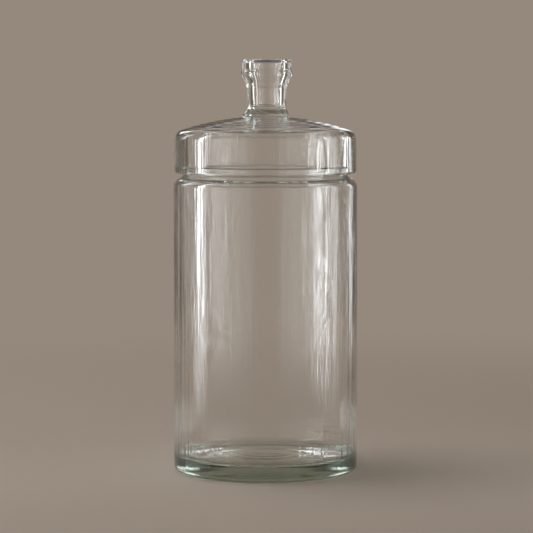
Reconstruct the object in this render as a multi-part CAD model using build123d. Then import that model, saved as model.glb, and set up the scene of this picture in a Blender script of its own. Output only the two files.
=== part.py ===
"""A lidded glass canister: a straight-sided jar and a skirted, domed lid with a hollow knob.

Millimetres, +Z up. The origin is the centre of the ring that the jar stands on.
Every piece is a body of revolution, so each one is a half-section turned about Z.
"""

import math
import os

from build123d import *

# Jar: body and base
body_diameter = 110.0
body_wall = 2.4
base_thickness = 9.0
base_corner_radius = 3.5
floor_corner_radius = 4.0
stand_ring_width = 13.0
push_up_height = 2.2
floor_crown_diameter = 48.0
floor_crown_height = 1.8

# Jar: shoulder, neck and rim
shoulder_height = 174.6
shoulder_step = 5.7
shoulder_slope = 20.0
shoulder_radius = 6.0
neck_height = 5.9
neck_wall = 2.8
neck_root_radius = 2.0
rim_edge_radius = 0.8

# Lid cover: it rests on the rim by a ledge inside its skirt
lid_clearance = 1.2
skirt_wall = 3.9
skirt_gap = 1.7
skirt_edge_radius = 1.8
seat_width = 1.6
lid_height = 30.0
dome_radius = 158.0
dome_thickness = 3.8
lid_corner_radius = 6.5
lid_inner_radius = 1.5

# Foot of the knob: the disc of glass between dome and knob
foot_diameter = 27.6
foot_edge_height = 1.8
foot_slope_height = 3.0
foot_height = 6.1
foot_edge_radius = 1.2
foot_hollow_radius = 3.0

# Knob: stem, bead, tapered collar and head round one cavity
stem_wall = 3.7
head_wall = 5.2
stem_root_diameter = 23.6
waist_diameter = 22.6
waist_height = 3.4
waist_radius = 20.0
stem_top_diameter = 24.2
stem_height = 12.0
bead_diameter = 26.0
bead_height = 2.0
bead_radius = 1.0
taper_end_diameter = 25.2
collar_diameter = 31.2
collar_height = 6.4
collar_radius = 0.9
head_diameter = 29.4
head_step = 1.4
head_root_radius = 1.2
head_height = 7.9
head_edge_radius = 2.0
head_thickness = 1.8
cavity_top_radius = 1.0
cavity_bend_radius = 8.0


def at(radius, height):
    """A point of a half-section."""
    return Vector(radius, 0, height)


def cap_height(radius, ball_radius, top):
    """Height, at a radius, of a ball whose highest point is top."""
    return top - ball_radius + math.sqrt(ball_radius**2 - radius**2)


def cap_arc(start_radius, end_radius, ball_radius, top):
    """The arc that a ball's cap leaves in a half-section."""
    radii = (start_radius, (start_radius + end_radius) / 2, end_radius)
    return ThreePointArc(*[at(r, cap_height(r, ball_radius, top)) for r in radii])


def cap_ball(radius, rise):
    """Radius of the ball whose cap has that radius and rise."""
    return (radius**2 + rise**2) / (2 * rise)


def runs(*points):
    """Straight runs of a half-section, as edges."""
    return Polyline(*points).edges()


def lathe(edges, roundings):
    """Turns a closed half-section about Z, after rounding the corners listed with their radii."""
    section = make_face(edges)
    for corner, radius in roundings:
        vertex = section.vertices().sort_by_distance(corner)[0]
        section = fillet(vertex, radius)
    return revolve(section, Axis.Z)


# Radii and heights that follow from the sizes above
body_radius = body_diameter / 2
body_inner_radius = body_radius - body_wall
neck_radius = body_radius - shoulder_step
neck_inner_radius = neck_radius - neck_wall
stand_inner_radius = body_radius - base_corner_radius - stand_ring_width
slope_rise = math.tan(math.radians(shoulder_slope))
shoulder_drop = body_wall / math.cos(math.radians(shoulder_slope))
neck_root_z = shoulder_height + shoulder_step * slope_rise
rim_z = neck_root_z + neck_height

lid_rebate_radius = neck_radius + lid_clearance
lid_radius = lid_rebate_radius + skirt_wall
lid_bore_radius = neck_radius - seat_width
skirt_bottom_z = neck_root_z + skirt_gap
crown_z = rim_z + lid_height

foot_radius = foot_diameter / 2
foot_seat_z = cap_height(foot_radius, dome_radius, crown_z)
foot_top_z = foot_seat_z + foot_height


def slope_inside(radius):
    """Height of the shoulder's inner face at a radius."""
    return shoulder_height + (body_radius - radius) * slope_rise - shoulder_drop


def make_jar():
    """Vessel: pushed-up base, straight wall, sloped shoulder and a short neck."""
    push_up = cap_ball(stand_inner_radius, push_up_height)
    crown_radius = floor_crown_diameter / 2
    crown = cap_ball(crown_radius, floor_crown_height)
    crown_top = base_thickness + floor_crown_height

    base_corner = at(body_radius, 0)
    shoulder = at(body_radius, shoulder_height)
    neck_root = at(neck_radius, neck_root_z)
    rim_outer = at(neck_radius, rim_z)
    rim_inner = at(neck_inner_radius, rim_z)
    neck_root_inside = at(neck_inner_radius, slope_inside(neck_inner_radius))
    shoulder_inside = at(body_inner_radius, slope_inside(body_inner_radius))
    floor_corner = at(body_inner_radius, base_thickness)
    wall_line = runs(
        at(stand_inner_radius, 0),
        base_corner,
        shoulder,
        neck_root,
        rim_outer,
        rim_inner,
        neck_root_inside,
        shoulder_inside,
        floor_corner,
        at(crown_radius, base_thickness),
    )
    outline = [
        cap_arc(0, stand_inner_radius, push_up, push_up_height),
        *wall_line,
        cap_arc(crown_radius, 0, crown, crown_top),
        Line(at(0, crown_top), at(0, push_up_height)),
    ]
    return lathe(
        outline,
        [
            (base_corner, base_corner_radius),
            (shoulder, shoulder_radius),
            (neck_root, neck_root_radius),
            (rim_outer, rim_edge_radius),
            (rim_inner, rim_edge_radius),
            (neck_root_inside, neck_root_radius + body_wall),
            (shoulder_inside, shoulder_radius - body_wall),
            (floor_corner, floor_corner_radius),
        ],
    )


def make_lid_cover():
    """Domed cover whose skirt hangs outside the neck, with a flat seat on top for the foot."""
    under_radius = dome_radius - dome_thickness
    under_top = crown_z - dome_thickness
    top_corner = at(lid_radius, cap_height(lid_radius, dome_radius, crown_z))
    under_corner = at(lid_bore_radius, cap_height(lid_bore_radius, under_radius, under_top))
    skirt_outer = at(lid_radius, skirt_bottom_z)
    skirt_inner = at(lid_rebate_radius, skirt_bottom_z)
    skirt_line = runs(
        under_corner,
        at(lid_bore_radius, rim_z),
        at(lid_rebate_radius, rim_z),
        skirt_inner,
        skirt_outer,
        top_corner,
    )
    outline = [
        cap_arc(0, lid_bore_radius, under_radius, under_top),
        *skirt_line,
        cap_arc(lid_radius, foot_radius, dome_radius, crown_z),
        *runs(at(foot_radius, foot_seat_z), at(0, foot_seat_z), at(0, under_top)),
    ]
    return lathe(
        outline,
        [
            (under_corner, lid_inner_radius),
            (skirt_inner, skirt_edge_radius),
            (skirt_outer, skirt_edge_radius),
            (top_corner, lid_corner_radius),
        ],
    )


def make_knob_foot():
    """Disc whose edge is rounded and drawn in to the diameter of the stem."""
    stem_root_radius = stem_root_diameter / 2
    edge_high = at(foot_radius, foot_seat_z + foot_edge_height)
    hollow = at(stem_root_radius, foot_seat_z + foot_edge_height + foot_slope_height)
    outline = runs(
        at(0, foot_seat_z),
        at(foot_radius, foot_seat_z),
        edge_high,
        hollow,
        at(stem_root_radius, foot_top_z),
        at(0, foot_top_z),
        at(0, foot_seat_z),
    )
    return lathe(
        outline,
        [
            (edge_high, foot_edge_radius),
            (hollow, foot_hollow_radius),
        ],
    )


def make_lid_knob():
    """Hollow knob, open below, where the foot closes it."""
    waist_inner_radius = waist_diameter / 2 - stem_wall
    head_inner_radius = head_diameter / 2 - head_wall
    bead_low_z = foot_top_z + stem_height
    bead_high_z = bead_low_z + bead_height
    collar_z = bead_high_z + collar_height
    top_z = collar_z + head_height

    waist = at(waist_diameter / 2, foot_top_z + waist_height)
    bead = at(bead_diameter / 2, (bead_low_z + bead_high_z) / 2)
    collar = at(collar_diameter / 2, collar_z)
    head_low = at(head_diameter / 2, collar_z + head_step)
    head_edge = at(head_diameter / 2, top_z)
    cavity_top = at(head_inner_radius, top_z - head_thickness)
    cavity_collar = at(head_inner_radius, collar_z)
    cavity_neck = at(waist_inner_radius, bead_high_z)
    outline = runs(
        at(waist_inner_radius, foot_top_z),
        at(stem_root_diameter / 2, foot_top_z),
        waist,
        at(stem_top_diameter / 2, bead_low_z),
        bead,
        at(taper_end_diameter / 2, bead_high_z),
        collar,
        head_low,
        head_edge,
        at(0, top_z),
        at(0, top_z - head_thickness),
        cavity_top,
        cavity_collar,
        cavity_neck,
        at(waist_inner_radius, foot_top_z),
    )
    return lathe(
        outline,
        [
            (waist, waist_radius),
            (bead, bead_radius),
            (collar, collar_radius),
            (head_low, head_root_radius),
            (head_edge, head_edge_radius),
            (cavity_top, cavity_top_radius),
            (cavity_collar, cavity_bend_radius),
            (cavity_neck, cavity_bend_radius),
        ],
    )


pieces = {
    "jar_body": make_jar(),
    "lid_cover": make_lid_cover(),
    "knob_foot": make_knob_foot(),
    "lid_knob": make_lid_knob(),
}
os.makedirs("parts", exist_ok=True)
for name, solid in pieces.items():
    export_step(solid, f"parts/{name}.step")
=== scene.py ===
"""The glass canister as it looks: blown glass turned on a lathe, on a pale floor in soft window light.

Sizes of the glass are in millimetres, as in the part's own model. The stage is in metres, as Blender is.
"""

import math

import bpy
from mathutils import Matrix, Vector, noise


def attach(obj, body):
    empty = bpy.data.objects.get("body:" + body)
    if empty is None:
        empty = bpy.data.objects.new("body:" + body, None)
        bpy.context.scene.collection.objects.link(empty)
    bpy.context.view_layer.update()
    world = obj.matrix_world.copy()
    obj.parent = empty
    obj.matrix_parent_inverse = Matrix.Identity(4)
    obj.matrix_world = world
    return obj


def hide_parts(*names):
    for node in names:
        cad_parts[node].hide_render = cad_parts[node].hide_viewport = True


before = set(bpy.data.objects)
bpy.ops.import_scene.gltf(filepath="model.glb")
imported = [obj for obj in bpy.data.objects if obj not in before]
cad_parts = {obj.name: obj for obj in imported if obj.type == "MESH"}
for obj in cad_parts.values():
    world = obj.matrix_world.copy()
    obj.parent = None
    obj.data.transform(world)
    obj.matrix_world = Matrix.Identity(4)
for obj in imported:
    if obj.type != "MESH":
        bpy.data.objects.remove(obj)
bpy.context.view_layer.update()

MM = 0.001

# Jar, in millimetres
body_radius = 55.0
body_wall = 2.4
base_thickness = 9.0
base_corner_radius = 3.5
floor_corner_radius = 4.0
stand_inner_radius = 38.5
push_up_height = 2.2
floor_crown_radius = 24.0
floor_crown_height = 1.8
heel_top = 36.0
shoulder_z = 174.6
shoulder_slope = math.radians(20.0)
shoulder_radius = 6.0
neck_radius = 49.3
neck_wall = 2.8
neck_height = 5.9
neck_root_radius = 2.0
rim_edge_radius = 0.8
rim_gap = 0.15

# Lid, in millimetres
lid_radius = 54.4
lid_rebate_radius = 50.5
lid_bore_radius = 47.7
skirt_gap = 1.7
skirt_edge_radius = 1.8
ledge_radius = 0.5
lid_height = 30.0
dome_radius = 158.0
dome_thickness = 3.8
dome_start_gap = 2.0
dome_end_gap = 8.0
under_end_gap = 5.0
lid_corner_radius = 6.5
lid_inner_radius = 1.5
foot_radius = 13.8
foot_edge_height = 1.8
foot_slope_height = 3.0
foot_height = 6.1
foot_edge_radius = 1.2
foot_join_radius = 0.9
foot_hollow_radius = 3.0
stem_root_radius = 11.8
waist_radius = 11.3
waist_height = 3.4
waist_bend = 20.0
stem_top_radius = 12.1
stem_height = 12.0
bead_radius = 13.0
bead_height = 2.0
bead_bend = 1.0
bead_hollow_bend = 1.8
taper_end_radius = 12.6
collar_radius = 15.6
collar_height = 6.4
collar_bend = 0.9
head_radius = 14.7
head_step = 1.4
head_root_bend = 1.2
head_height = 7.9
head_edge_radius = 2.0
head_thickness = 1.8
stem_wall = 3.7
head_wall = 5.2
cavity_bend = 8.0
cavity_top_bend = 1.0
cavity_foot_bend = 1.0
knob_lean = 0.8

# Heights that follow, in millimetres
slope_rise = math.tan(shoulder_slope)
neck_root_z = shoulder_z + (body_radius - neck_radius) * slope_rise
rim_z = neck_root_z + neck_height
crown_z = rim_z + lid_height
skirt_bottom_z = neck_root_z + skirt_gap

# Unevenness of the jar: depths and places in millimetres, pitches in radians to the millimetre
inside_swell = 0.30
inside_cords = 0.10
outside_swell = 0.10
outside_cords = 0.07
cords_start = (2.0, 14.0)
cords_end = (168.0, 176.0)
floor_ring_depth = 0.09
floor_ring_pitch = 1.05
floor_ring_wander = 0.6
floor_rings_start = (1.0, 5.0)
floor_rings_end = (24.0, 31.0)
fold_depth = 0.24
fold_pitch = 1.2
fold_wander = 4.0
folds_start = (10.0, 13.0)
folds_end = (16.0, 28.0)
lesser_fold = 0.7

# Unevenness of the lid, in the same units
dome_ring_depth = 0.08
dome_fine_ring_depth = 0.025
dome_ring_pitch = 1.37
dome_ring_wander = 0.5
dome_rings_start = (15.0, 18.0)
under_wave = 0.10
bore_wave = 0.06
bore_wave_rise = 4.0
skirt_wave = 0.06
cavity_wave = 0.03
knob_wave = 0.01
lean_start = (crown_z - 1.0, crown_z + 5.0)

# Lathe resolution: counts, an angle, and lengths in millimetres
LATHE_SIDES = 288
ARC_STEP = math.radians(9.0)
LONGEST_RUN = 4.0
FINE_RUN = 0.6
FINE_FACES = ("dome", "under", "floor", "heel")
CAP_STEPS = 12
ON_AXIS = 1e-6

# Glass: depths in metres, the ripples' fade in millimetres, a seed's radius as a share of its cell
GLASS_IOR = 1.5
GLASS_TINT = (0.55, 0.65, 0.56, 1.0)
GLASS_SHADOW = (0.70, 0.72, 0.71, 1.0)
JAR_ABSORPTION = 18.0
LID_ABSORPTION = 6.0
SMEAR_SCALE = 22.0
SMEAR_DETAIL = 5.0
SMEAR_RANGE = (0.45, 0.75)
SMEAR_ROUGHNESS = 0.025
RIPPLE_SCALE = 120.0
RIPPLE_DETAIL = 4.0
RIPPLE_ROUGHNESS = 0.6
RIPPLE_STRETCH = (1.0, 1.0, 0.025)
RIPPLE_DEPTH = 0.0006
UPRIGHT_TILT = (0.1, 0.5)
RIPPLE_FADE = 4.0
KNOB_RIPPLE = 0.1
SEED_SCALE = 190.0
SEED_RADIUS = 0.075
SEED_DEPTH = 0.0002

# Stage: linear colours, radiances, distances in metres and bearings in degrees from the camera's side
FLOOR_COLOUR = (0.50, 0.425, 0.36, 1.0)
FLOOR_ROUGHNESS = 0.9
FLOOR_GLOSS = 0.2
WALL_COLOUR = (0.30, 0.247, 0.203, 1.0)
DAYLIGHT = (0.93, 0.97, 1.0, 1.0)
# Colour of the painted light on the backdrop's bright side band, for mirrored rays only
PAINTED_SIDE_LIGHT_COLOUR = (1.0, 0.97, 0.93, 1.0)
ROOM_COLOUR = (0.9, 0.87, 0.83, 1.0)
# Strength and bearings of that painted light on the backdrop's bright side
BRIGHT_SIDE = 0.75
BRIGHT_BEARINGS = (14.0, 30.0, 62.0, 78.0)
# Painted shade: the backdrop's glow darker on the far sides, for mirrored rays only
DARK_SIDE = 0.40
DARK_BEARINGS = (64.0, 80.0, 152.0, 168.0)
DARK_DISTANCES = (0.6, 1.3)
# Painted shade at the top of the backdrop, for rays mirrored off an outer face
TOP_SHADE = 0.2
TOP_SHADE_HEIGHTS = (0.40, 0.62)
# Painted bright band high on the backdrop, for rays mirrored off an outer face
HIGH_BAND = 0.8
HIGH_BAND_FOOT = (1.25, 1.35)
HIGH_BAND_HEAD = (1.45, 1.55)
BACKDROP_DISTANCES = (0.25, 0.85)
OVERHEAD_RADIANCE = 3.8
OVERHEAD_SIZE = 1.2
OVERHEAD_PLACE = (-0.7, 0.1, 1.8)
ROOM_RADIANCE = 0.10

# Window panels: where their light fades, as a share of the panel
PANEL_MIDDLE = 0.5
PANEL_TOP_FADE = (0.6, 1.0)
PANEL_FOOT_FADE = (0.25, -0.02)

# Camera: places in metres, lens in millimetres
CAMERA_PLACE = (0.0006, -1.4, 0.229)
CAMERA_AIM = (0.0006, 0.0, 0.1225)
FOCAL_LENGTH = 158.2
SENSOR_WIDTH = 36.0
CLIP_END = 20.0

# Bounces that light may take through the glass
LIGHT_BOUNCES = 32
GLOSSY_BOUNCES = 16


def cap_height(radius, ball_radius, top):
    """Height, at a radius, of a ball whose highest point is top."""
    return top - ball_radius + math.sqrt(ball_radius**2 - radius**2)


def cap_ball(radius, rise):
    """Radius of the ball whose cap has that radius and rise."""
    return (radius**2 + rise**2) / (2 * rise)


def cap_points(start, end, ball_radius, top, face):
    """Points along a ball's cap, from one radius to another."""
    points = []
    for step in range(CAP_STEPS + 1):
        radius = start + (end - start) * step / CAP_STEPS
        points.append((radius, cap_height(radius, ball_radius, top), 0.0, face))
    return points


def rounded(corners):
    """Replaces each corner (radius, height, rounding, face) by the points of its arc."""
    points = []
    for index, (radius, height, rounding, face) in enumerate(corners):
        corner = Vector((radius, height))
        if rounding == 0.0:
            points.append((corner, face))
            continue
        before = (Vector(corners[index - 1][:2]) - corner).normalized()
        after = (Vector(corners[index + 1][:2]) - corner).normalized()
        half_angle = before.angle(after) / 2
        reach = rounding / math.tan(half_angle)
        centre = corner + (before + after).normalized() * (rounding / math.sin(half_angle))
        start = corner + before * reach - centre
        end = corner + after * reach - centre
        turn = start.angle(end)
        steps = max(2, math.ceil(turn / ARC_STEP))
        for step in range(steps + 1):
            share = step / steps
            start_part = start * math.sin((1 - share) * turn)
            end_part = end * math.sin(share * turn)
            points.append((centre + (start_part + end_part) / math.sin(turn), face))
    return points


def divided(points):
    """Adds points along long runs, closer together on the faces that have fine rings or folds."""
    fine = [points[0]]
    for (start, _), (end, face) in zip(points, points[1:]):
        longest = FINE_RUN if face in FINE_FACES else LONGEST_RUN
        pieces = max(1, math.ceil((end - start).length / longest))
        for piece in range(1, pieces + 1):
            fine.append((start.lerp(end, piece / pieces), face))
    return fine


def lathe(name, outlines, waves):
    """A mesh turned about Z from outlines that start and end on the axis, with hand-made unevenness."""
    vertices = []
    faces = []
    for corners in outlines:
        outline = divided(rounded(corners))
        rings = []
        for point, face in outline:
            radius, height = point
            if radius < ON_AXIS:
                rings.append([len(vertices)])
                vertices.append((0.0, 0.0, height * MM))
                continue
            ring = []
            for side in range(LATHE_SIDES):
                angle = 2 * math.pi * side / LATHE_SIDES
                out, up = waves(face, angle, radius, height)
                reach = (radius + out) * MM
                ring.append(len(vertices))
                vertices.append((reach * math.cos(angle), reach * math.sin(angle), (height + up) * MM))
            rings.append(ring)
        for upper, lower in zip(rings, rings[1:]):
            for side in range(LATHE_SIDES):
                following = (side + 1) % LATHE_SIDES
                if len(upper) == 1:
                    faces.append((upper[0], lower[side], lower[following]))
                elif len(lower) == 1:
                    faces.append((upper[side], lower[0], upper[following]))
                else:
                    faces.append((upper[side], lower[side], lower[following], upper[following]))
    mesh = bpy.data.meshes.new(name)
    mesh.from_pydata(vertices, [], faces)
    mesh.validate()
    mesh.shade_smooth()
    piece = bpy.data.objects.new(name, mesh)
    bpy.context.scene.collection.objects.link(piece)
    return piece


def around(angle, height, turns, length, seed):
    """Smooth noise that closes on itself round the jar; turns sets its width, length its height in mm."""
    across = turns * math.cos(angle) + seed
    along = turns * math.sin(angle) - seed
    return noise.noise((across, along, height / length + seed))


def fade(value, start, end):
    """0 at start, 1 at end, smooth between them."""
    share = min(1.0, max(0.0, (value - start) / (end - start)))
    return share * share * (3 - 2 * share)


def patch(angle, middle, full, end):
    """1 within full degrees of a middle angle, falling to 0 at end degrees from it."""
    return 1 - fade(abs(math.degrees(angle) - middle), full, end)


def folds(angle, height):
    """Small folds low down inside, on two patches of the wall, left where the hot glass first set."""
    reach = fade(height, *folds_start) * (1 - fade(height, *folds_end))
    main_patch = patch(angle, middle=50.0, full=14.0, end=24.0)
    lesser_patch = patch(angle, middle=130.0, full=8.0, end=16.0)
    place = max(main_patch, lesser_fold * lesser_patch)
    wander = fold_wander * around(angle, height, turns=6.0, length=12.0, seed=41.7)
    return fold_depth * reach * place * math.sin(fold_pitch * height + wander)


def jar_waves(face, angle, radius, height):
    """Long upright cords and a wandering wall, folds low down inside, and rings on the floor."""
    amount = fade(height, *cords_start) * (1 - fade(height, *cords_end))
    if face in ("inside", "heel"):
        swell = inside_swell * around(angle, height, turns=1.6, length=160.0, seed=3.7)
        cords = inside_cords * around(angle, height, turns=7.0, length=60.0, seed=11.3)
        return (swell + cords) * amount + folds(angle, height), 0.0
    if face == "outside":
        swell = outside_swell * around(angle, height, turns=1.3, length=140.0, seed=21.9)
        cords = outside_cords * around(angle, height, turns=6.0, length=45.0, seed=31.1)
        return (swell + cords) * amount, 0.0
    if face == "floor":
        wander = floor_ring_wander * around(angle, radius, turns=1.1, length=20.0, seed=51.3)
        rings = floor_ring_depth * math.sin(radius * floor_ring_pitch + wander)
        return 0.0, rings * fade(radius, *floor_rings_start) * (1 - fade(radius, *floor_rings_end))
    return 0.0, 0.0


def lid_waves(face, angle, radius, height):
    """Tooling rings on the dome, an uneven inside, and the lean of the knob."""
    if face == "dome":
        wander = dome_ring_wander * around(angle, radius, turns=1.2, length=30.0, seed=5.1)
        turn = radius * dome_ring_pitch + wander
        rings = dome_ring_depth * math.sin(turn) + dome_fine_ring_depth * math.sin(2 * turn)
        return 0.0, rings * fade(radius, *dome_rings_start)
    if face == "under":
        return 0.0, under_wave * around(angle, radius, turns=1.5, length=14.0, seed=8.3)
    if face == "bore":
        wave = bore_wave * around(angle, height, turns=6.0, length=40.0, seed=13.7)
        return wave * fade(height, rim_z, rim_z + bore_wave_rise), 0.0
    if face == "skirt":
        return skirt_wave * around(angle, height, turns=6.0, length=45.0, seed=17.9), 0.0
    if face == "cavity":
        wave = cavity_wave * around(angle, height, turns=1.2, length=12.0, seed=23.3)
        return wave + knob_lean * math.cos(angle), 0.0
    if face in ("knob", "foot"):
        lean = knob_lean * math.cos(angle) * fade(height, *lean_start)
        return knob_wave * around(angle, height, turns=1.4, length=8.0, seed=29.1) + lean, 0.0
    return 0.0, 0.0


def slope_inside(radius):
    """Height of the shoulder's inner face at a radius."""
    drop = body_wall / math.cos(shoulder_slope)
    return shoulder_z + (body_radius - radius) * slope_rise - drop


def make_jar():
    """The vessel: from the middle of its floor up the inside, over the rim, down outside and under."""
    inner = body_radius - body_wall
    neck_inner = neck_radius - neck_wall
    crown_top = base_thickness + floor_crown_height
    crown_ball = cap_ball(floor_crown_radius, floor_crown_height)
    push_up_ball = cap_ball(stand_inner_radius, push_up_height)
    outline = [
        *cap_points(0.0, floor_crown_radius, crown_ball, crown_top, "floor"),
        (inner, base_thickness, floor_corner_radius, "heel"),
        (inner, heel_top, 0.0, "heel"),
        (inner, slope_inside(inner), shoulder_radius - body_wall, "inside"),
        (neck_inner, slope_inside(neck_inner), neck_root_radius + body_wall, "inside"),
        (neck_inner, rim_z - rim_gap, rim_edge_radius, "rim"),
        (neck_radius, rim_z - rim_gap, rim_edge_radius, "rim"),
        (neck_radius, neck_root_z, neck_root_radius, "outside"),
        (body_radius, shoulder_z, shoulder_radius, "outside"),
        (body_radius, 0.0, base_corner_radius, "outside"),
        *cap_points(stand_inner_radius, 0.0, push_up_ball, push_up_height, "base"),
    ]
    return lathe("jar_glass_body", [outline], jar_waves)


def knob_outside(foot_top_z):
    """Outline of the knob from the middle of its top down to the foot."""
    bead_low_z = foot_top_z + stem_height
    bead_high_z = bead_low_z + bead_height
    collar_z = bead_high_z + collar_height
    top_z = collar_z + head_height
    return [
        (0.0, top_z, 0.0, "knob"),
        (head_radius, top_z, head_edge_radius, "knob"),
        (head_radius, collar_z + head_step, head_root_bend, "knob"),
        (collar_radius, collar_z, collar_bend, "knob"),
        (taper_end_radius, bead_high_z, bead_bend, "knob"),
        (bead_radius, (bead_low_z + bead_high_z) / 2, bead_bend, "knob"),
        (stem_top_radius, bead_low_z, bead_hollow_bend, "knob"),
        (waist_radius, foot_top_z + waist_height, waist_bend, "knob"),
        (stem_root_radius, foot_top_z, 0.0, "knob"),
    ]


def knob_cavity(foot_top_z):
    """Outline of the sealed hollow in the knob, from the bottom of its axis up."""
    bead_high_z = foot_top_z + stem_height + bead_height
    collar_z = bead_high_z + collar_height
    top_z = collar_z + head_height - head_thickness
    stem_inner = waist_radius - stem_wall
    head_inner = head_radius - head_wall
    return [
        (0.0, foot_top_z, 0.0, "cavity"),
        (stem_inner, foot_top_z, cavity_foot_bend, "cavity"),
        (stem_inner, bead_high_z, cavity_bend, "cavity"),
        (head_inner, collar_z, cavity_bend, "cavity"),
        (head_inner, top_z, cavity_top_bend, "cavity"),
        (0.0, top_z, 0.0, "cavity"),
    ]


def make_lid():
    """Knob, foot and dome as the one piece of glass that hot joining makes of them."""
    seat_z = cap_height(foot_radius, dome_radius, crown_z)
    foot_top_z = seat_z + foot_height
    under_ball = dome_radius - dome_thickness
    under_top = crown_z - dome_thickness
    dome_start = foot_radius + dome_start_gap
    dome_end = lid_radius - dome_end_gap
    under_end = lid_bore_radius - under_end_gap
    outside = [
        *knob_outside(foot_top_z),
        (stem_root_radius, seat_z + foot_edge_height + foot_slope_height, foot_hollow_radius, "foot"),
        (foot_radius, seat_z + foot_edge_height, foot_edge_radius, "foot"),
        (foot_radius, seat_z, foot_join_radius, "foot"),
        *cap_points(dome_start, dome_end, dome_radius, crown_z, "dome"),
        (lid_radius, cap_height(lid_radius, dome_radius, crown_z), lid_corner_radius, "skirt"),
        (lid_radius, skirt_bottom_z, skirt_edge_radius, "skirt"),
        (lid_rebate_radius, skirt_bottom_z, skirt_edge_radius, "rebate"),
        (lid_rebate_radius, rim_z, ledge_radius, "rebate"),
        (lid_bore_radius, rim_z, ledge_radius, "rebate"),
        (lid_bore_radius, cap_height(lid_bore_radius, under_ball, under_top), lid_inner_radius, "bore"),
        *cap_points(under_end, 0.0, under_ball, under_top, "under"),
    ]
    return lathe("lid_glass_cover", [outside, knob_cavity(foot_top_z)], lid_waves)


def feed(tree, socket, source):
    """Sets a socket to a plain number, or links another socket to it."""
    if isinstance(source, float):
        socket.default_value = source
    else:
        tree.links.new(source, socket)


def ramp(tree, source, start, end, low, high, smooth=True):
    """Goes from low at start to high at end, and stays there beyond."""
    node = tree.nodes.new("ShaderNodeMapRange")
    if smooth:
        node.interpolation_type = "SMOOTHSTEP"
    node.inputs["From Min"].default_value = start
    node.inputs["From Max"].default_value = end
    node.inputs["To Min"].default_value = low
    node.inputs["To Max"].default_value = high
    tree.links.new(source, node.inputs["Value"])
    return node.outputs["Result"]


def maths(tree, operation, *sources):
    """The result of an operation on one or two sockets or plain numbers."""
    node = tree.nodes.new("ShaderNodeMath")
    node.operation = operation
    for socket, source in zip(node.inputs, sources):
        feed(tree, socket, source)
    return node.outputs["Value"]


def parts_of(tree, vector):
    """The X, Y and Z of a vector, as sockets."""
    node = tree.nodes.new("ShaderNodeSeparateXYZ")
    tree.links.new(vector, node.inputs["Vector"])
    return node.outputs


def emission(tree, colour, strength):
    """A glow of one colour."""
    node = tree.nodes.new("ShaderNodeEmission")
    node.inputs["Color"].default_value = colour
    feed(tree, node.inputs["Strength"], strength)
    return node.outputs["Emission"]


def mixed(tree, share, first, second):
    """The first shader where share is 0, the second where it is 1."""
    node = tree.nodes.new("ShaderNodeMixShader")
    tree.links.new(share, node.inputs["Fac"])
    tree.links.new(first, node.inputs[1])
    tree.links.new(second, node.inputs[2])
    return node.outputs["Shader"]


def smears(tree, place):
    """Roughness of polished glass with faint smears."""
    smear = tree.nodes.new("ShaderNodeTexNoise")
    smear.inputs["Scale"].default_value = SMEAR_SCALE
    smear.inputs["Detail"].default_value = SMEAR_DETAIL
    tree.links.new(place, smear.inputs["Vector"])
    return ramp(tree, smear.outputs["Fac"], *SMEAR_RANGE, 0.0, SMEAR_ROUGHNESS, smooth=False)


def ripples(tree, place):
    """Normal of fine upright ripples, on upright faces and hardly at all on the knob."""
    facing = tree.nodes.new("ShaderNodeNewGeometry")
    tilt = maths(tree, "ABSOLUTE", parts_of(tree, facing.outputs["Normal"])["Z"])
    upright = ramp(tree, tilt, *UPRIGHT_TILT, 1.0, 0.0, smooth=False)
    height = parts_of(tree, place)["Z"]
    fade_top = (crown_z + RIPPLE_FADE) * MM
    below_knob = ramp(tree, height, crown_z * MM, fade_top, 1.0, KNOB_RIPPLE, smooth=False)
    stretch = tree.nodes.new("ShaderNodeMapping")
    stretch.inputs["Scale"].default_value = RIPPLE_STRETCH
    cords = tree.nodes.new("ShaderNodeTexNoise")
    cords.inputs["Scale"].default_value = RIPPLE_SCALE
    cords.inputs["Detail"].default_value = RIPPLE_DETAIL
    cords.inputs["Roughness"].default_value = RIPPLE_ROUGHNESS
    bump = tree.nodes.new("ShaderNodeBump")
    bump.inputs["Distance"].default_value = RIPPLE_DEPTH
    tree.links.new(place, stretch.inputs["Vector"])
    tree.links.new(stretch.outputs["Vector"], cords.inputs["Vector"])
    tree.links.new(cords.outputs["Fac"], bump.inputs["Height"])
    tree.links.new(maths(tree, "MULTIPLY", upright, below_knob), bump.inputs["Strength"])
    return bump.outputs["Normal"]


def seeds(tree, place, normal):
    """Normal of small round seeds, on top of another normal."""
    cells = tree.nodes.new("ShaderNodeTexVoronoi")
    cells.inputs["Scale"].default_value = SEED_SCALE
    tree.links.new(place, cells.inputs["Vector"])
    bump = tree.nodes.new("ShaderNodeBump")
    bump.inputs["Strength"].default_value = 1.0
    bump.inputs["Distance"].default_value = SEED_DEPTH
    tree.links.new(ramp(tree, cells.outputs["Distance"], 0.0, SEED_RADIUS, 1.0, 0.0), bump.inputs["Height"])
    tree.links.new(normal, bump.inputs["Normal"])
    return bump.outputs["Normal"]


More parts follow.
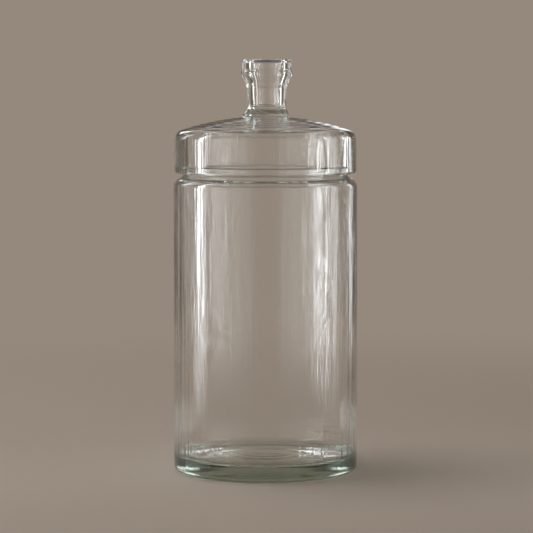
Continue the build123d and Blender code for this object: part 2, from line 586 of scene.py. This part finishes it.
def glass(name, absorption):
    """Clear soda-lime glass: faint smears, fine ripples, seeds, green in the thickness.

    Lamps shine through it.
    """
    material = bpy.data.materials.new(name)
    material.use_nodes = True
    tree = material.node_tree
    shader = tree.nodes["Principled BSDF"]
    shader.inputs["Base Color"].default_value = (1.0, 1.0, 1.0, 1.0)
    shader.inputs["Transmission Weight"].default_value = 1.0
    shader.inputs["IOR"].default_value = GLASS_IOR
    place = tree.nodes.new("ShaderNodeTexCoord").outputs["Object"]
    tree.links.new(smears(tree, place), shader.inputs["Roughness"])
    tree.links.new(seeds(tree, place, ripples(tree, place)), shader.inputs["Normal"])

    lamp_ray = tree.nodes.new("ShaderNodeLightPath").outputs["Is Shadow Ray"]
    pass_through = tree.nodes.new("ShaderNodeBsdfTransparent")
    pass_through.inputs["Color"].default_value = GLASS_SHADOW
    surface = mixed(tree, lamp_ray, shader.outputs["BSDF"], pass_through.outputs["BSDF"])
    tint = tree.nodes.new("ShaderNodeVolumeAbsorption")
    tint.inputs["Color"].default_value = GLASS_TINT
    tint.inputs["Density"].default_value = absorption
    output = tree.nodes["Material Output"]
    tree.links.new(surface, output.inputs["Surface"])
    tree.links.new(tint.outputs["Volume"], output.inputs["Volume"])
    return material


def side_band(tree, bearing, start, full, last, end):
    """1 between two bearings in degrees, falling off to 0 on both sides."""
    rise = ramp(tree, bearing, math.radians(start), math.radians(full), 0.0, 1.0)
    drop = ramp(tree, bearing, math.radians(last), math.radians(end), 1.0, 0.0)
    return maths(tree, "MULTIPLY", rise, drop)


def backdrop(tree, point, distance):
    """Glow of the far paper: even, apart from bands of painted light and painted shade that only mirrored
    rays meet.

    The painted shade at the top and the painted high band are for rays mirrored without going through
    glass.
    """
    sideways = maths(tree, "ABSOLUTE", point["X"])
    forward = maths(tree, "MULTIPLY", point["Y"], -1.0)
    bearing = maths(tree, "ARCTAN2", sideways, forward)
    route = tree.nodes.new("ShaderNodeLightPath").outputs
    mirrored = ramp(tree, route["Glossy Depth"], 0.0, 1.0, 0.0, 1.0)
    not_through = ramp(tree, route["Transmission Depth"], 0.0, 1.0, 1.0, 0.0)
    on_face = maths(tree, "MULTIPLY", mirrored, not_through)

    # Painted light: a brighter band on one side of the backdrop, met only by mirrored rays
    bright = maths(tree, "MULTIPLY", side_band(tree, bearing, *BRIGHT_BEARINGS), mirrored)
    # Painted shade: the glow darker on the far sides, met only by mirrored rays
    far_off = maths(tree, "MULTIPLY", ramp(tree, distance, *DARK_DISTANCES, 0.0, 1.0), mirrored)
    dark = maths(tree, "MULTIPLY", side_band(tree, bearing, *DARK_BEARINGS), far_off)
    side_shade = ramp(tree, dark, 0.0, 1.0, 1.0, DARK_SIDE)
    # Painted shade at the top, met only by rays mirrored off an outer face
    top = maths(tree, "MULTIPLY", on_face, ramp(tree, point["Z"], *TOP_SHADE_HEIGHTS, 0.0, 1.0))
    top_shade = ramp(tree, top, 0.0, 1.0, 1.0, TOP_SHADE)
    # Painted light: a bright band high on the backdrop, met only by rays mirrored off an outer face
    band_foot = ramp(tree, point["Z"], *HIGH_BAND_FOOT, 0.0, 1.0)
    band_head = ramp(tree, point["Z"], *HIGH_BAND_HEAD, 1.0, 0.0)
    high_band = maths(tree, "MULTIPLY", on_face, maths(tree, "MULTIPLY", band_foot, band_head))

    wall = emission(tree, WALL_COLOUR, maths(tree, "MULTIPLY", side_shade, top_shade))
    sides = mixed(tree, bright, wall, emission(tree, PAINTED_SIDE_LIGHT_COLOUR, BRIGHT_SIDE))
    return mixed(tree, high_band, sides, emission(tree, DAYLIGHT, HIGH_BAND))


def paper():
    """Pale paper: lit like any floor near the jar, and a backdrop with its own glow further off."""
    material = bpy.data.materials.new("studio_paper")
    material.use_nodes = True
    tree = material.node_tree
    near = tree.nodes["Principled BSDF"]
    near.inputs["Base Color"].default_value = FLOOR_COLOUR
    near.inputs["Roughness"].default_value = FLOOR_ROUGHNESS
    near.inputs["Specular IOR Level"].default_value = FLOOR_GLOSS
    place = tree.nodes.new("ShaderNodeTexCoord").outputs["Object"]
    length = tree.nodes.new("ShaderNodeVectorMath")
    length.operation = "LENGTH"
    tree.links.new(place, length.inputs[0])
    distance = length.outputs["Value"]
    far = backdrop(tree, parts_of(tree, place), distance)
    share = ramp(tree, distance, *BACKDROP_DISTANCES, 0.0, 1.0)
    surface = mixed(tree, share, near.outputs["BSDF"], far)
    tree.links.new(surface, tree.nodes["Material Output"].inputs["Surface"])
    return material


def make_stage():
    """A pale floor that curves up into a round backdrop."""
    floor_drop = 0.0002
    first_ring = 0.6
    flat_radius = 1.9
    cove_radius = 0.7
    wall_top = 2.2
    sides = 96
    arc_steps = 16
    outline = [(first_ring, -floor_drop), (flat_radius, -floor_drop)]
    for step in range(1, arc_steps + 1):
        turn = math.pi / 2 * step / arc_steps
        rise = cove_radius * (1 - math.cos(turn))
        outline.append((flat_radius + cove_radius * math.sin(turn), rise - floor_drop))
    outline.append((flat_radius + cove_radius, wall_top))
    vertices = [(0.0, 0.0, -floor_drop)]
    faces = []
    for radius, height in outline:
        for side in range(sides):
            angle = 2 * math.pi * side / sides
            vertices.append((radius * math.cos(angle), radius * math.sin(angle), height))
    for side in range(sides):
        following = (side + 1) % sides
        faces.append((0, 1 + side, 1 + following))
        for ring in range(len(outline) - 1):
            near = 1 + ring * sides
            far = near + sides
            faces.append((near + side, far + side, far + following, near + following))
    mesh = bpy.data.meshes.new("studio_sweep")
    mesh.from_pydata(vertices, [], faces)
    mesh.shade_smooth()
    mesh.materials.append(paper())
    sweep = bpy.data.objects.new("studio_sweep", mesh)
    bpy.context.scene.collection.objects.link(sweep)


def glow(name, radiance, core, surface_only):
    """Window light that fades out at its sides, top and foot, and is clear from behind.

    Mirrored rays meet it, and rays through one wall of glass. With surface_only, a ray that has gone
    into glass doesn't.
    """
    material = bpy.data.materials.new(name)
    material.use_nodes = True
    tree = material.node_tree
    tree.nodes.remove(tree.nodes["Principled BSDF"])
    place = parts_of(tree, tree.nodes.new("ShaderNodeTexCoord").outputs["Generated"])
    off_middle = maths(tree, "ABSOLUTE", maths(tree, "SUBTRACT", place["X"], PANEL_MIDDLE))
    across = ramp(tree, off_middle, core / 2, PANEL_MIDDLE, 1.0, 0.0)
    upward = ramp(tree, place["Y"], *PANEL_TOP_FADE, 1.0, 0.0)
    downward = ramp(tree, place["Y"], *PANEL_FOOT_FADE, 1.0, 0.0)
    shape = maths(tree, "MULTIPLY", across, maths(tree, "MULTIPLY", upward, downward))

    facing = tree.nodes.new("ShaderNodeNewGeometry")
    front = ramp(tree, facing.outputs["Backfacing"], 0.0, 1.0, 1.0, 0.0)
    route = tree.nodes.new("ShaderNodeLightPath").outputs
    if surface_only:
        seen = maths(tree, "LESS_THAN", route["Transmission Depth"], 1.0)
    else:
        mirrored = maths(tree, "MINIMUM", route["Glossy Depth"], 1.0)
        through_wall = maths(tree, "LESS_THAN", route["Transmission Depth"], 3.0)
        seen = maths(tree, "MAXIMUM", mirrored, through_wall)
    visible = maths(tree, "MULTIPLY", front, seen)
    strength = maths(tree, "MULTIPLY", maths(tree, "MULTIPLY", shape, visible), radiance)

    clear = tree.nodes.new("ShaderNodeBsdfTransparent")
    both = tree.nodes.new("ShaderNodeAddShader")
    tree.links.new(emission(tree, DAYLIGHT, strength), both.inputs[0])
    tree.links.new(clear.outputs["BSDF"], both.inputs[1])
    tree.links.new(both.outputs["Shader"], tree.nodes["Material Output"].inputs["Surface"])
    return material


def window(name, bearing, distance, width, bottom, height, radiance, core, surface_only=False):
    """A glowing panel that faces the jar. Bearing is in degrees to the right of the camera's side."""
    mesh = bpy.data.meshes.new(name)
    half = width / 2
    corners = [(-half, 0.0, 0.0), (half, 0.0, 0.0), (half, height, 0.0), (-half, height, 0.0)]
    mesh.from_pydata(corners, [], [(0, 1, 2, 3)])
    mesh.materials.append(glow(name, radiance, core, surface_only))
    panel = bpy.data.objects.new(name, mesh)
    turn = math.radians(bearing)
    panel.location = (distance * math.sin(turn), -distance * math.cos(turn), bottom)
    panel.rotation_euler = (math.pi / 2, 0.0, turn + math.pi)
    panel.visible_camera = False
    panel.visible_diffuse = False
    bpy.context.scene.collection.objects.link(panel)


def side_windows():
    """Tall panels on both sides of the jar, whose streaks run down the glass."""
    tall = {"bottom": 0.001, "height": 0.46}
    window("left_window", -82.0, distance=0.24, width=0.040, **tall, radiance=24.0, core=0.25)
    window("right_window", 63.6, distance=0.24, width=0.010, **tall, radiance=20.0, core=0.3)
    window("right_second_window", 74.6, distance=0.24, width=0.012, **tall, radiance=26.0, core=0.3)
    window("right_soft_window", 86.0, distance=0.25, width=0.060, **tall, radiance=3.5, core=0.5)


def back_windows():
    """Panels behind the jar, for the edges of its base, body, shoulder and lid."""
    kicker = {"distance": 0.5, "radiance": 4.0, "core": 0.4}
    window("right_kicker", 128.0, width=0.08, bottom=0.001, height=0.42, **kicker)
    window("left_high_kicker", -122.0, width=0.10, bottom=0.21, height=0.45, **kicker)
    low = {"distance": 0.125, "width": 0.034, "bottom": -0.004, "height": 0.032}
    for side in (-1, 1):
        window(f"low_kicker_{side + 1}", side * 157.5, **low, radiance=2.6, core=0.2)
    high = {"distance": 1.2, "surface_only": True}
    right = {"width": 0.20, "bottom": 0.30, "height": 0.30}
    left = {"width": 0.30, "bottom": 0.48, "height": 0.42}
    window("right_shoulder_window", 171.0, **right, radiance=1.7, core=0.4, **high)
    window("left_shoulder_window", -158.0, **left, radiance=4.0, core=0.4, **high)
    window("high_back_window", 180.0, width=1.6, bottom=1.0, height=0.8, radiance=0.9, core=0.6, **high)


def light_stage():
    """Window panels round the jar, a large soft lamp overhead and a dim room."""
    side_windows()
    back_windows()

    lamp = bpy.data.lights.new("overhead", "AREA")
    lamp.shape = "SQUARE"
    lamp.size = OVERHEAD_SIZE
    lamp.energy = OVERHEAD_RADIANCE * lamp.size**2 * math.pi
    holder = bpy.data.objects.new("overhead", lamp)
    holder.location = OVERHEAD_PLACE
    holder.visible_camera = False
    holder.visible_glossy = False
    holder.visible_transmission = False
    bpy.context.scene.collection.objects.link(holder)

    world = bpy.data.worlds.new("room")
    world.use_nodes = True
    room = world.node_tree.nodes["Background"]
    room.inputs["Color"].default_value = ROOM_COLOUR
    room.inputs["Strength"].default_value = ROOM_RADIANCE
    bpy.context.scene.world = world


def make_camera():
    """A long lens level with the lid's knob, aimed at the middle of the jar."""
    lens = bpy.data.cameras.new("camera")
    lens.sensor_width = SENSOR_WIDTH
    lens.lens = FOCAL_LENGTH
    lens.clip_end = CLIP_END
    holder = bpy.data.objects.new("camera", lens)
    holder.location = CAMERA_PLACE
    aim = Vector(CAMERA_AIM) - Vector(holder.location)
    holder.rotation_euler = aim.to_track_quat("-Z", "Y").to_euler()
    bpy.context.scene.collection.objects.link(holder)
    bpy.context.scene.camera = holder


jar = make_jar()
jar.data.materials.append(glass("jar_glass_clear", JAR_ABSORPTION))
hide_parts("jar_body")
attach(jar, "jar")

lid = make_lid()
lid.data.materials.append(glass("lid_glass_clear", LID_ABSORPTION))
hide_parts("lid_cover", "knob_foot", "lid_knob")
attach(lid, "lid")

make_stage()
light_stage()
make_camera()

scene = bpy.context.scene
scene.view_settings.view_transform = "Standard"
scene.cycles.max_bounces = LIGHT_BOUNCES
scene.cycles.transmission_bounces = LIGHT_BOUNCES
scene.cycles.glossy_bounces = GLOSSY_BOUNCES
scene.cycles.transparent_max_bounces = LIGHT_BOUNCES
